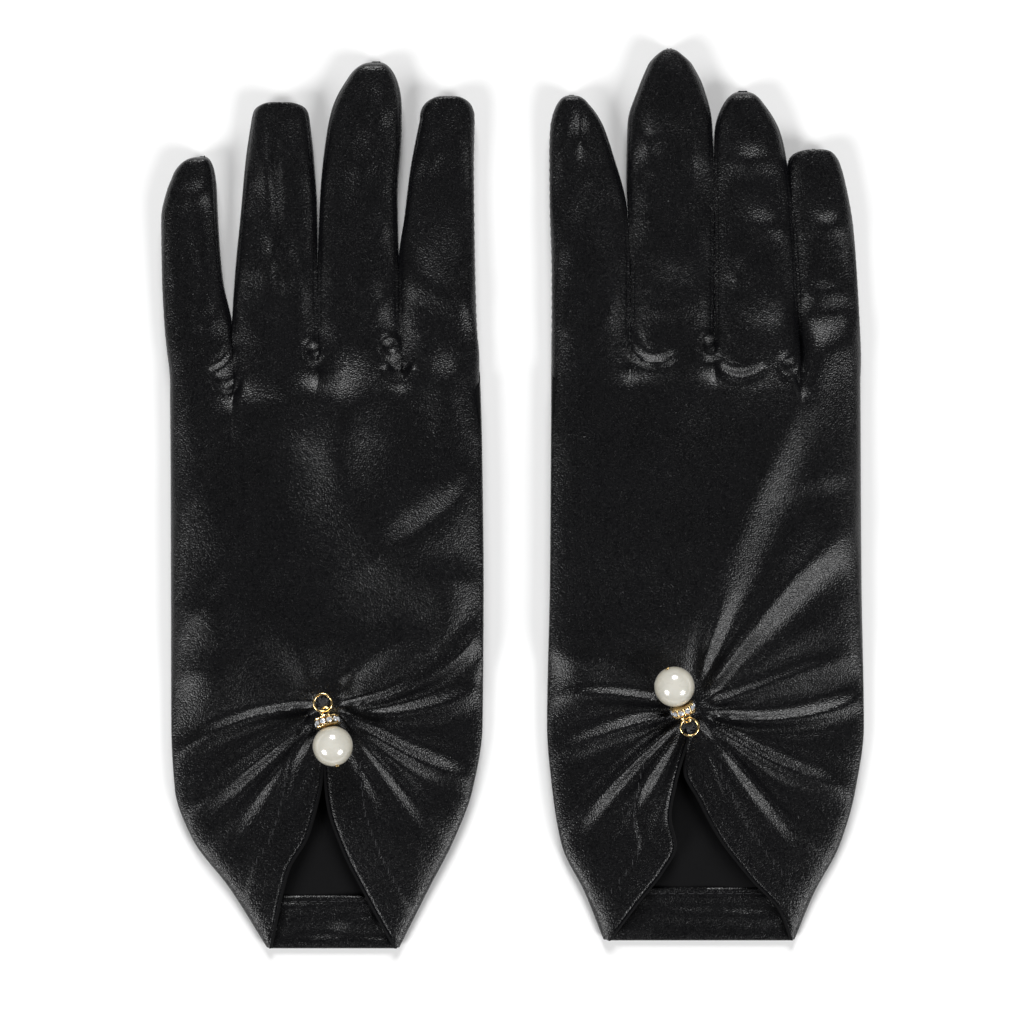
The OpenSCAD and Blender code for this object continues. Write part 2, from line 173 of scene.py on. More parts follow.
THUMB_LENGTH = 42
THUMB_ROOT_R = 11.8
THUMB_TIP_R = 8.3
THUMB_TUCK = 38             # degrees that the thumb is turned in under the palm
RONDELLE_R = 3.2
RONDELLE_T = 2.5
STONES = 10


# ---- curves and bumps ----

def smooth(a, b, x):
    """0 below a, 1 above b and a soft step between; a may be above b."""
    t = np.clip((np.asarray(x, float) - a) / (b - a), 0, 1)
    return t * t * (3 - 2 * t)


def curve(rows, x):
    """A curve without overshoot through rows of (x, value), read at x."""
    rows = np.array(sorted(rows), float)
    knots, values = rows[:, 0], rows[:, 1]
    step = np.diff(knots)
    rise = np.diff(values) / step
    slope = np.zeros(len(knots))
    slope[0], slope[-1] = rise[0], rise[-1]
    for i in range(1, len(knots) - 1):
        if rise[i - 1] * rise[i] > 0:
            slope[i] = 2 * rise[i - 1] * rise[i] / (rise[i - 1] + rise[i])
    x = np.clip(x, knots[0], knots[-1])
    i = np.clip(np.searchsorted(knots, x, side="right") - 1, 0, len(step) - 1)
    h = step[i]
    t = (x - knots[i]) / h
    return ((1 + 2 * t) * (1 - t) ** 2 * values[i] + t * (1 - t) ** 2 * h * slope[i]
            + t * t * (3 - 2 * t) * values[i + 1] + t * t * (t - 1) * h * slope[i + 1])


def mix(a, b, t):
    return a + (b - a) * t


def crowned(t, span, low_power, high_power):
    """A rounded section over t from -1 to 1, 1 in the middle; each half has its own edge power."""
    return (1 - np.abs(t) ** span) ** np.where(t < 0, low_power, high_power)


def waves(seed, shortest, longest, s, y, count=14):
    """Soft seeded bumps of about unit height, with wavelengths between the two given."""
    rng = np.random.default_rng(seed)
    total = np.zeros(np.broadcast(s, y).shape)
    for _ in range(count):
        length, heading, phase = rng.uniform((shortest, 0, 0), (longest, math.pi, 2 * math.pi))
        along = s * math.cos(heading) + y * math.sin(heading)
        total += np.sin(2 * math.pi * along / length + phase)
    return total / math.sqrt(count / 2)


def turned(s, y, s0, y0, heading):
    """Lengths from (s0, y0) along a heading in degrees, and across it to the left."""
    c, d = math.cos(math.radians(heading)), math.sin(math.radians(heading))
    return (s - s0) * c + (y - y0) * d, (y - y0) * c - (s - s0) * d


def bump(s, y, s0, y0, heading, half_length, half_width):
    """A long soft mound of unit height."""
    along, aside = turned(s, y, s0, y0, heading)
    return np.exp(-(along / half_length) ** 2 - (aside / half_width) ** 2)


def fold(s, y, s0, y0, heading, half_length, half_width):
    """A long mound of unit height: steep on the left as seen along its heading, else gentle."""
    along, aside = turned(s, y, s0, y0, heading)
    aside = np.where(aside < 0, aside / GENTLE, aside)
    return np.exp(-(along / half_length) ** 2 - (aside / half_width) ** 2)


def loop(s, y, s0, y0, radius, start, end, width):
    """A ridge of unit height along an arc, with a groove inside it; angles in degrees."""
    r = np.hypot(s - s0, y - y0)
    ridge = (np.exp(-((r - radius) / width) ** 2)
             - 0.5 * np.exp(-((r - radius + 1.7 * width) / width) ** 2))
    off = np.degrees(np.arctan2(y - y0, s - s0)) - (start + end) / 2
    off = np.abs((off + 180) % 360 - 180)
    half = (end - start) / 2
    return ridge * (1 if half >= 180 else smooth(half + 12, half - 12, off))


# ---- a glove's shape ----

class Glove:
    """One glove: where it is in the row frame, and the heights of its cloth."""

    def __init__(self, name, side, lay):
        lo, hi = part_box(name + "_palm_panel")
        self.name, self.side, self.lay = name, side, lay
        self.x = (lo.x + hi.x) / 2 / MM
        self.y = lo.y / MM - CUFF_Y
        pins = [JOINTS[f"{name}_{f}_fold"]["pos_m"] for f in FINGERS]
        self.middle = [side * (p[0] / MM - self.x) for p in pins]
        self.knuckle = [p[1] / MM - self.y for p in pins]
        self.front_y = [k - BEND for k in self.knuckle]
        # walls part the fingers; the one by the little finger is shifted, since that one is narrow
        walls = [mix(a, b, 0.5) for a, b in zip(self.middle, self.middle[1:])]
        walls[2] -= (self.middle[2] - self.middle[3]) / 2 - LITTLE_HALF - WALL_ROOM
        self.walls = [self.edge(1, self.knuckle[0])] + walls + [self.edge(0, self.knuckle[0])]

    def world(self, p):
        p = np.asarray(p, float)
        q = np.empty_like(p)
        q[..., 0] = self.x + self.side * p[..., 0]
        q[..., 1] = self.y + p[..., 1]
        q[..., 2] = p[..., 2]
        return q * MM

    def edge(self, i, y):
        """The hand's outline: i is 0 on the little finger's side and 1 on the thumb's."""
        return curve([(r[0], r[1 + i]) for r in self.lay["hand"]], y)

    def place(self, s, y):
        """Where s lies across the hand, from -1 on the little finger's side to 1."""
        left, right = self.edge(0, y), self.edge(1, y)
        return np.clip((2 * s - left - right) / (right - left), -1, 1)

    def front(self, s):
        """y of the hand's front edge; it steps down to the little finger inside the ring's root."""
        step = smooth(self.walls[3], self.walls[3] + 3, s)
        return mix(self.front_y[3], self.front_y[2], step)

    def edge_z(self, i, y):
        """Height of the side seams."""
        z = mix(1.3, EDGE_Z, smooth(-111, -80, y))
        if i == 1:
            raised = smooth(-46, -38, y) * smooth(33, 28.5, y)
            z = mix(z, RAISED_EDGE_Z, raised)
        return mix(z, FINGER_SEAM_Z, smooth(28, 33, y))

    def lobe(self, s):
        """For the finger that s is in line with: t across it, its base, edge powers and crown."""
        t = np.zeros_like(s)
        low = np.full_like(s, VALLEY_Z)
        high = np.full_like(s, VALLEY_Z)
        low_power, high_power = np.full_like(s, VALLEY_POWER), np.full_like(s, VALLEY_POWER)
        crown = np.zeros_like(s)
        for f, (right, left) in enumerate(zip(self.walls, self.walls[1:])):
            inside = (s >= left - 1e-6) & (s <= right + 1e-6)
            if f == 0:
                inside |= s > right
            if f == 3:
                inside |= s < left
            t[inside] = np.clip((2 * s[inside] - left - right) / (right - left), -1, 1)
            crown[inside] = FINGER_TOP[f]
            if f == 3:
                low[inside], low_power[inside] = FINGER_SEAM_Z, SEAM_POWER
            if f == 0:
                high[inside], high_power[inside] = FINGER_SEAM_Z, SEAM_POWER
        return t, mix(low, high, (t + 1) / 2), low_power, high_power, crown

    def relief(self, s, y):
        """Folds, puckers and soft slack that the back of the hand and the finger roots share."""
        lay = self.lay
        z = 0.20 * waves(lay["seed"], 28, 70, s, y) + 0.03 * waves(lay["seed"] + 1, 9, 20, s, y)
        for *place, height in lay["folds"]:
            z = z + height * fold(s, y, *place)
        for *place, height, width in lay["loops"]:
            z = z + height * loop(s, y, *place, width)
        return z

    def pleats(self, s, y):
        """Pleats fanning out from the gather: steep towards the fingertips, with a dip each side."""
        s0, y0 = self.lay["gather"]
        dx, dy = s - s0, y - y0
        r = np.hypot(dx, dy) + 1e-9
        z = np.zeros_like(r)
        for heading, start, length, width, height, bend in self.lay["pleats"]:
            turn = np.radians(heading + bend * r / length)
            along = dx * np.cos(turn) + dy * np.sin(turn)
            aside = dy * np.cos(turn) - dx * np.sin(turn)
            wide = mix(0.75, width, np.clip(r / length, 0, 1.2))
            steep = np.where(aside * np.cos(turn) > 0, 0.72, 1.1) * wide
            fade = smooth(start, start + 5, r) * smooth(length * 1.08, length * 0.5, r)
            ridge = (np.exp(-(aside / steep) ** 2)
                     - 0.35 * np.exp(-((np.abs(aside) - 1.9 * wide) / wide) ** 2))
            z += PLEAT_HEIGHT * height * ridge * fade * (along > 0)
        z += 1.1 * np.exp(-(r / 3.2) ** 2)
        return z

    def band(self, s, y):
        """The faced band beside the slit: a low step with a stitched groove, on both sides."""
        z = np.zeros_like(s)
        for i, rows in enumerate(self.lay["lips"]):
            inward = (curve(rows, y) - s) * (1 if i == 0 else -1)
            here = smooth(-57, -66, y) * (inward > -0.5)
            z += here * (0.3 * smooth(BAND + 0.9, BAND - 0.5, inward)
                         - 0.12 * np.exp(-((inward - BAND) / 0.5) ** 2)
                         - 0.2 * smooth(1.0, 0, inward))
        return z

    def top(self, s, y):
        """Height of the back of the hand."""
        t = self.place(s, y)
        crown = curve(BACK_ROWS, y)
        base = mix(self.edge_z(0, y), self.edge_z(1, y), (t + 1) / 2)
        thumb = 0.55 * bump(s, y, 11, -6, 128, 24, 9)
        hand = base + (crown + thumb - base) * (1 - np.abs(t) ** 8) ** 0.5
        tf, base, low_power, high_power, finger_crown = self.lobe(s)
        # the valleys between fingers run out sooner than the crowns do, the outer seams never
        behind = self.front(s) - y
        outer = np.where(tf < 0, low_power, high_power) < VALLEY_POWER
        valley = np.where(outer, 1, smooth(8, 0.3, behind) ** 1.5)
        fingers = finger_crown - ((finger_crown - base) * valley
                                  * (1 - crowned(tf, 2.8, low_power, high_power)))
        z = mix(hand, fingers, smooth(18, 0.3, behind))
        return z + self.inside(s, y) * (self.relief(s, y) + self.pleats(s, y) + self.band(s, y))

    def inside(self, s, y):
        """1 over the hand, falling to 0 at its outer seams, where folds end."""
        return 1 - np.abs(self.place(s, y)) ** 10

    def under(self, s, y):
        """Height of the underside of the palm, lifted over the tucked thumb."""
        t = self.place(s, y)
        lifted = smooth(-16.5, -11.5, s) * smooth(-41.5, -37, y) * smooth(32, 28, y)
        floor = mix(LIFT, ROOF_Z, lifted)
        base = mix(self.edge_z(0, y), self.edge_z(1, y), (t + 1) / 2)
        hand = base - (base - floor) * (1 - np.abs(t) ** 8) ** 0.5
        tf, base, low_power, high_power, _ = self.lobe(s)
        fingers = base - (base - LIFT) * crowned(tf, 4, low_power, high_power)
        return mix(hand, fingers, smooth(5, 0.5, self.front(s) - y))


GLOVES = [Glove("left", 1, LEFT), Glove("right", -1, RIGHT)]


# ---- meshes ----

def grid(points, wrap=False):
    """Vertices and faces of a sheet given as rows of points."""
    rows, cols = points.shape[:2]
    index = np.arange(rows * cols).reshape(rows, cols)
    if wrap:
        index = np.concatenate([index, index[:, :1]], axis=1)
    faces = np.stack([index[:-1, :-1], index[:-1, 1:], index[1:, 1:], index[1:, :-1]], axis=-1)
    return points.reshape(-1, 3), faces.reshape(-1, 4)


def mesh_object(name, parts, smooth_angle=50):
    """One object from several (vertices, faces) in metres, with its doubled points welded."""
    verts, faces, count = [], [], 0
    for v, f in parts:
        verts += [tuple(p) for p in np.asarray(v, float).reshape(-1, 3)]
        faces += [tuple(int(i) + count for i in q) for q in f]
        count = len(verts)
    mesh = bpy.data.meshes.new(name)
    mesh.from_pydata(verts, [], faces)
    bm = bmesh.new()
    bm.from_mesh(mesh)
    bmesh.ops.remove_doubles(bm, verts=bm.verts, dist=2e-6)
    bmesh.ops.dissolve_degenerate(bm, edges=bm.edges, dist=1e-7)
    bm.to_mesh(mesh)
    bm.free()
    mesh.shade_smooth()
    mesh.set_sharp_from_angle(angle=math.radians(smooth_angle))
    obj = bpy.data.objects.new(name, mesh)
    bpy.context.scene.collection.objects.link(obj)
    return obj


def finish_cloth(obj, thickness):
    """Gives a sheet its thickness on its inner side, satin outside and the dull side within."""
    obj.data.materials.append(SATIN)
    obj.data.materials.append(LINING)
    solid = obj.modifiers.new("thickness", "SOLIDIFY")
    solid.thickness = thickness * MM
    solid.offset = -1
    solid.material_offset = 1
    solid.material_offset_rim = 0
    graph = bpy.context.evaluated_depsgraph_get()
    made = bpy.data.meshes.new_from_object(obj.evaluated_get(graph))
    obj.modifiers.clear()
    obj.data = made
    made.name = obj.name
    made.set_sharp_from_angle(angle=math.radians(50))
    return obj


def cloth(glove, name, points, thickness=CLOTH, flip=False, cut=None):
    """A sheet of cloth from rows of points in the glove's frame, its outer side facing out."""
    v, f = grid(points)
    if cut is not None:
        f = f[~cut(v[f].mean(axis=1))]
        used = np.unique(f)
        place = np.full(len(v), -1)
        place[used] = np.arange(len(used))
        v, f = v[used], place[f]
    if flip != (glove.side < 0):
        f = f[:, ::-1]
    obj = mesh_object(f"{glove.name}_{name}", [(glove.world(v), f)])
    return finish_cloth(obj, thickness)


def tube(path, radius, sides, closed=False):
    """(vertices, faces) of a round wire along a path, in the path's own units."""
    path = np.asarray(path, float)
    if closed:
        ahead = np.roll(path, -1, axis=0) - np.roll(path, 1, axis=0)
    else:
        ahead = np.gradient(path, axis=0)
    ahead /= np.linalg.norm(ahead, axis=1)[:, None]
    normal = np.cross(ahead[0], [0.3, 0.2, 0.93])
    normal /= np.linalg.norm(normal)
    rings = []
    angles = np.linspace(0, 2 * math.pi, sides, endpoint=False)
    for p, d in zip(path, ahead):
        normal = normal - d * (normal @ d)
        normal /= np.linalg.norm(normal)
        other = np.cross(d, normal)
        rings.append(p + radius * (np.cos(angles)[:, None] * normal
                                   + np.sin(angles)[:, None] * other))
    rings = np.array(rings)
    if closed:
        # the frame turns along a closed path, so the seam is joined at the nearest corner
        gap = np.linalg.norm(rings[0][None] - rings[-1][:1], axis=-1).argmin()
        return grid(np.concatenate([rings, np.roll(rings[0], -gap, axis=0)[None]]), wrap=True)
    v, f = grid(rings, wrap=True)
    caps = [tuple(range(sides))[::-1], tuple(len(v) - sides + i for i in range(sides))]
    return v, [tuple(q) for q in f] + caps


def lathe(profile, turns=64, wobble=None):
    """(vertices, faces) of (radius, height) pairs turned about +Z; wobble scales their radii."""
    angles = np.linspace(0, 2 * math.pi, turns, endpoint=False)
    rings = []
    for i, (r, z) in enumerate(profile):
        scale = wobble(angles, i) if wobble else 1
        rings.append(np.stack([r * scale * np.cos(angles), r * scale * np.sin(angles),
                               np.full(turns, z)], axis=-1))
    return grid(np.array(rings), wrap=True)


# ---- materials ----

class Surface:
    """A Principled material whose patterns are noise in the object's own space."""

    def __init__(self, name, **sockets):
        self.mat = bpy.data.materials.new(name)
        self.mat.use_nodes = True
        self.nodes, self.links = self.mat.node_tree.nodes, self.mat.node_tree.links
        self.shader = self.nodes["Principled BSDF"]
        self.fill(self.shader, sockets)

    def fill(self, n, sockets):
        for key, value in sockets.items():
            n.inputs[key.replace("_", " ")].default_value = value

    def node(self, kind, out, links=None, **sockets):
        """A new node's output, with other outputs linked into its sockets."""
        n = self.nodes.new(kind)
        self.fill(n, sockets)
        for key, source in (links or {}).items():
            self.links.new(source, n.inputs[key])
        return n.outputs[out]

    def drive(self, socket, source):
        self.links.new(source, self.shader.inputs[socket])

    def grain(self, scale, stretch=(1, 1, 1), turn=0.0, detail=2.0):
        """Noise in the object's own metres, stretched and turned."""
        where = self.node("ShaderNodeTexCoord", "Object")
        where = self.node("ShaderNodeMapping", "Vector", {"Vector": where},
                          Scale=stretch, Rotation=(0, 0, turn))
        return self.node("ShaderNodeTexNoise", "Fac", {"Vector": where},
                         Scale=scale, Detail=detail, Roughness=0.6)

    def ramp(self, source, *stops):
        n = self.nodes.new("ShaderNodeValToRGB")
        for k, (place, colour) in enumerate(stops):
            e = n.color_ramp.elements[k] if k < 2 else n.color_ramp.elements.new(place)
            e.position = place
            e.color = (*colour, 1)
        self.links.new(source, n.inputs["Fac"])
        return n.outputs["Color"]

    def colour(self, source, *stops):
        self.drive("Base Color", self.ramp(source, *stops))

    def rough(self, source, low, high, start=0.0, end=1.0):
        """Roughness from low to high where the source runs from start to end."""
        self.drive("Roughness", self.node("ShaderNodeMapRange", "Result", {"Value": source},
                                          From_Min=start, From_Max=end, To_Min=low, To_Max=high))

    def relief(self, source, strength, height, below=None):
        """A bumped normal, of a height in mm, over an earlier one."""
        links = {"Height": source} if below is None else {"Height": source, "Normal": below}
        return self.node("ShaderNodeBump", "Normal", links, Strength=strength, Distance=height * MM)


def satin():
    """Warp-faced satin: a soft directional gloss broken up by single glinting threads."""
    m = Surface("black_satin", Sheen_Weight=0.02, Sheen_Roughness=0.35,
                Sheen_Tint=(0.72, 0.78, 1, 1), Specular_IOR_Level=0.34)
    specks = m.grain(3000, detail=0.0)
    threads = m.grain(5200, stretch=(1, 0.4, 1), turn=0.35)
    m.rough(specks, 0.24, 0.35, 0.36, 0.62)
    m.colour(m.grain(90, detail=3),
             (0.35, (0.0012, 0.0012, 0.0016)), (0.75, (0.0022, 0.0022, 0.0028)))
    m.drive("Normal", m.relief(threads, 0.7, 0.044, below=m.relief(specks, 1.0, 0.11)))
    return m.mat


def lining():
    """The satin's dull inner side: a matte plain weave."""
    m = Surface("satin_inner_side", Sheen_Weight=0.02, Sheen_Roughness=0.6, Specular_IOR_Level=0.1)
    weave = m.grain(2800, stretch=(1, 0.5, 1))
    m.colour(weave, (0.3, (0.0016, 0.0016, 0.0019)), (0.75, (0.0036, 0.0036, 0.0042)))
    m.rough(weave, 0.7, 0.92)
    m.drive("Normal", m.relief(weave, 0.8, 0.03))
    return m.mat


def thread():
    """Twisted black sewing thread, with a little wax gloss."""
    m = Surface("black_thread", Sheen_Weight=0.3, Sheen_Roughness=0.4)
    fibre = m.grain(5200, stretch=(1, 1, 0.3))
    m.colour(fibre, (0.3, (0.003, 0.003, 0.004)), (0.7, (0.012, 0.012, 0.015)))
    m.rough(fibre, 0.45, 0.7)
    m.drive("Normal", m.relief(fibre, 0.6, 0.02))
    return m.mat


def gold():
    """Bright plated gold with faint handling marks."""
    m = Surface("gold_plate", Metallic=1.0)
    marks = m.grain(900, stretch=(1, 3, 1), turn=0.6, detail=4)
    m.colour(marks, (0.3, (0.83, 0.56, 0.22)), (0.7, (0.98, 0.76, 0.40)))
    m.rough(marks, 0.12, 0.3)
    return m.mat


def rhinestone():
    """Clear cut glass over a foiled back, with painted glints in its colour."""
    m = Surface("clear_stone", Roughness=0.03, IOR=1.7, Coat_Weight=1.0, Coat_Roughness=0.02)
    # painted glints: noise patches turn the colour and the metallic share bright or dull, standing
    # in for the facets' sparkle
    painted_glints = m.grain(1500, detail=0)
    m.colour(painted_glints, (0.3, (0.42, 0.46, 0.52)), (0.5, (0.92, 0.95, 1.0)), (0.7, (0.70, 0.72, 0.74)))
    m.drive("Metallic", m.ramp(painted_glints, (0.35, (0.25,) * 3), (0.65, (0.75,) * 3)))
    return m.mat


def pearl():
    """Coated bead: ivory body, a painted shade that darkens and browns its colour towards its
    outline as the surface turns from the view, and a clear gloss.
    """
    m = Surface("pearl_coat", Coat_Weight=1.0, Coat_Roughness=0.06, Coat_IOR=1.6,
                Subsurface_Weight=0.15, Subsurface_Scale=0.002, Subsurface_Radius=(1.0, 0.8, 0.6),
                Sheen_Weight=0.25, Sheen_Roughness=0.3)
    tone = m.grain(260, detail=2)
    body = m.ramp(tone, (0.3, (0.50, 0.475, 0.40)), (0.7, (0.60, 0.575, 0.50)))
    # painted shade: the colour is lighter where the surface faces the view and darker and browner
    # towards the bead's outline
    over = m.ramp(m.node("ShaderNodeLayerWeight", "Facing", Blend=0.42), (0.0, (0.66, 0.65, 0.60)),
                  (0.55, (0.50, 0.47, 0.38)), (1.0, (0.30, 0.26, 0.17)))
    blend = m.nodes.new("ShaderNodeMix")
    blend.data_type = "RGBA"
    blend.inputs["Factor"].default_value = 0.6
    m.links.new(body, blend.inputs["A"])
    m.links.new(over, blend.inputs["B"])
    m.drive("Base Color", blend.outputs["Result"])
    m.rough(tone, 0.22, 0.34)
    return m.mat


SATIN = satin()
LINING = lining()
THREAD = thread()
GOLD = gold()
STONE = rhinestone()
PEARL = pearl()


# ---- the hand ----

FINGER_COLUMNS = 40
HAND_COLUMNS = 2 * FINGER_COLUMNS - 1
UNDER_COLUMNS = 26


def spread(n):
    """Places across a finger from -1 to 1, closer together at its sides."""
    q = np.linspace(-1, 1, n)
    return mix(q, np.sin(q * math.pi / 2), 0.75)


def half_of_hand(glove, side, inner, rows):
    """Points (s, y) over one half of the hand: inner(y) is its edge at the slit or the middle."""
    first, last = (3, 2) if side == 0 else (1, 0)
    stops = [np.interp(spread(FINGER_COLUMNS), [-1, 1], [glove.walls[f + 1], glove.walls[f]])
             for f in (first, last)]
    front = np.unique(np.round(np.concatenate(stops), 6))
    front = (front - front[0]) / (front[-1] - front[0])
    q = np.linspace(0, 1, HAND_COLUMNS)
    back = mix(q, (1 - np.cos(math.pi * q)) / 2, 0.6)
    s_front = np.interp(front, [0, 1], [glove.walls[first + 1], glove.walls[last]])
    front_y = glove.front(s_front)
    closing_y = front_y - 12
    s, y = [], []
    for row in rows:
        outline = glove.edge(side, row)
        low, high = (outline, inner(row)) if side == 0 else (inner(row), outline)
        s.append(low + (high - low) * mix(back, front, smooth(-12, 30, row)))
        # the last rows close up on the stepped front edge
        share = (row - closing_y) / (rows[-1] - closing_y)
        y.append(np.where(row > closing_y, mix(closing_y, front_y, share), row))
    s[-1] = s_front
    return np.array(s), np.array(y)


def hand_rows(glove):
    front = glove.front_y[0]
    return np.linspace(CUFF_Y, front, int((front - CUFF_Y) / SKIN_ROW))


def middle_line(glove, lip):
    """The line between the two halves of the back: down the middle, then down one lip."""
    rows = glove.lay["lips"][lip]
    top_y, top_s = rows[0]

    def at(y):
        if y < top_y:
            return curve(rows, y)
        return mix(top_s, glove.walls[2], smooth(top_y, 30, y))
    return at


def hand_back(glove):
    """The back of the hand, slit below the tack, and the points of its two halves."""
    rows = hand_rows(glove)
    parts = []
    for side in (0, 1):
        s, y = half_of_hand(glove, side, middle_line(glove, side), rows)
        from_tack = np.hypot(s - glove.lay["gather"][0], y - glove.lay["gather"][1])
        z = np.minimum(glove.top(s, y), mix(TACKED_TOP, 20, smooth(9, 18, from_tack)))
        parts.append(np.stack([s, y, z], axis=-1))
    # above the slit the two halves share their middle column
    top_row = np.searchsorted(rows, glove.lay["lips"][0][0][0])
    shared = (parts[0][top_row:, -1] + parts[1][top_row:, 0]) / 2
    parts[0][top_row:, -1] = shared
    parts[1][top_row:, 0] = shared
    meshes = []
    for p in parts:
        v, f = grid(p)
        meshes.append((glove.world(v), f[:, ::-1] if glove.side < 0 else f))
    return finish_cloth(mesh_object(glove.name + "_back_of_hand", meshes), CLOTH), parts


def palm(glove):
    """Points over the palm, with half as many columns as the back."""
    rows = hand_rows(glove)
    cuff_s, front_s = glove.lay["lips"][0][0][1], glove.walls[2]
    (s0, y0), (s1, y1) = [
        half_of_hand(glove, side, lambda y: mix(cuff_s, front_s, smooth(-58, 30, y)), rows)
        for side in (0, 1)]
    s = np.concatenate([s0[:, ::2], s1[:, 2::2]], axis=1)
    y = np.concatenate([y0[:, ::2], y1[:, 2::2]], axis=1)
    inside = 1 - smooth(0.9, 1, np.abs(glove.place(s, y)))
    slack = 0.12 * inside * (waves(glove.lay["seed"] + 5, 16, 34, s, y) * 0.5 + 0.9)
    return np.stack([s, y, glove.under(s, y) + slack], axis=-1)


def thumb_root(glove):
    pos = JOINTS[glove.name + "_thumb_swing"]["pos_m"]
    return np.array([glove.side * (pos[0] / MM - glove.x), pos[1] / MM - glove.y])


def in_hole(middle):
    """Tells which of the given places lie within the thumb's hole."""
    return lambda c: np.hypot(c[:, 0] - middle[0], c[:, 1] - middle[1]) < HOLE_R - 0.05


def snap_to_hole(points, middle, cell):
    """Moves the vertices next to a round hole onto its edge."""
    d = points[..., :2] - middle
    r = np.hypot(d[..., 0], d[..., 1])
    near = np.abs(r - HOLE_R) < cell
    scale = np.where(near, HOLE_R / np.maximum(r, 1e-6), 1)
    points[..., :2] = middle + d * scale[..., None]
    return points


def build_hand(glove):
    body = glove.name + "_hand"
    back, parts = hand_back(glove)
    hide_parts(glove.name + "_back_panel")
    root = thumb_root(glove)
    points = snap_to_hole(palm(glove), root, 0.45)
    under = cloth(glove, "palm_of_hand", points, flip=True, cut=in_hole(root))
    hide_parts(glove.name + "_palm_panel", glove.name + "_palm_over_thumb")
    hem = wrist_hem(glove)
    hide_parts(glove.name + "_wrist_hem")
    facings = []
    for side, label in ((0, "little_side"), (1, "thumb_side")):
        strip = facing(glove, side, label, parts[side])
        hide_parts(f"{glove.name}_slit_facing_{label}")
        facings.append(strip)
    stitches = stitching(glove)
    for obj in (back, under, hem, stitches, *facings):
        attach(obj, body)


def wrist_hem(glove):
    """The palm cloth turned up inside the cuff, satin side showing, with its folded edge."""
    # (y from the cuff, height), round the fold, up the band and down at its raw edge
    rows = [(dy + 0.3, z) for dy, z in
            ((-0.35, 0.10), (-0.62, 0.42), (-0.66, 0.72), (-0.45, 1.05), (-0.1, 1.2))]
    rows += [(d, 1.25 + 0.10 * math.sin(d * 1.3)) for d in np.linspace(0.6, HEM_DEPTH - 0.6, 26)]
    rows += [(HEM_DEPTH - 0.2, 1.15), (HEM_DEPTH, 0.85)]
    points = []
    for depth, z in rows:
        y = CUFF_Y + depth
        outline_y = max(y, CUFF_Y)
        s = np.linspace(glove.edge(0, outline_y) + 0.9, glove.edge(1, outline_y) - 0.9, 90)
        ripple = 0.2 * waves(glove.lay["seed"] + 9, 9, 30, s, np.full_like(s, y * 2))
        pucker = -0.22 * math.exp(-((depth - HEM_DEPTH + 1.6) / 0.5) ** 2)
        z = z + 0.12 + ripple * smooth(0.5, 3, depth) + pucker
        points.append(np.stack([s, np.full_like(s, y), z], axis=-1))
    return cloth(glove, "wrist_hem_band", np.array(points), thickness=0.35)


def facing(glove, side, label, half):
    """The strip folded under one lip of the slit, from the top of the slit to the cuff."""
    lip = half[:, -1] if side == 0 else half[:, 0]
    lip = lip[lip[:, 1] < glove.lay["lips"][side][0][0] + 0.3][::2]
    inward = -1 if side == 0 else 1
    room = np.clip(np.abs(lip[:, 0] - glove.edge(side, lip[:, 1])) - 0.5, 0.4, FACING)
    # shifts in s and z: round the fold, then flat underneath
    shifts = [(-inward * 0.45 * math.sin(a), -0.55 * (1 - math.cos(a)))
              for a in np.linspace(0, math.pi, 7)]
    shifts += [(inward * room * k, -1.1 - 0.15 * k) for k in np.linspace(0.15, 1, 8)]
    points = np.repeat(lip[:, None], len(shifts), axis=1)
    for k, (ds, dz) in enumerate(shifts):
        points[:, k, 0] += ds
        points[:, k, 2] += dz
    points[..., 2] = np.maximum(points[..., 2], 1.55)
    return cloth(glove, "slit_facing_" + label + "_fold", points, thickness=0.4, flip=(side == 0))


def stitching(glove):
    """Small stitches along both faced bands and along the top of the hem."""
    made = []
    pitch, reach, thread_r, sides = 2.4, 0.75, 0.12, 6
    for side, inward in ((0, -1), (1, 1)):
        for y in np.arange(-104, -64, pitch):
            s = float(curve(glove.lay["lips"][side], y)) + inward * BAND
            if (s - float(glove.edge(side, y))) * inward > -4:
                continue        # the band has run out at the side seam
            ys = np.array([y - reach, y, y + reach])
            z = glove.top(np.full(3, s), ys) + [-0.12, 0.10, -0.12]
            made.append(tube(np.stack([np.full(3, s), ys, z], axis=-1), thread_r, sides))
    y = CUFF_Y + HEM_DEPTH - 1.5
    for s in np.arange(float(glove.edge(0, y)) + 2, float(glove.edge(1, y)) - 2, pitch):
        made.append(tube([(s - reach, y, 1.15), (s, y, 1.42), (s + reach, y, 1.15)],
                         thread_r, sides))
    return thread_object(glove, "stitching", made)


def thread_object(glove, name, made):
    """One object of thread from (vertices, faces) in the glove's frame."""
    step = -1 if glove.side < 0 else 1
    obj = mesh_object(f"{glove.name}_{name}",
                      [(glove.world(v), [tuple(q)[::step] for q in f]) for v, f in made])
    obj.data.materials.append(THREAD)
    return obj


# ---- fingers ----

GUSSET_T = 0.93             # where the gusset's seams run, as a share of the finger's half width
TIP_WIDTH = 0.12            # share of a finger's width that its tip seam keeps
T_TOP = spread(FINGER_COLUMNS)
T_UNDER = -spread(UNDER_COLUMNS)[1:-1]


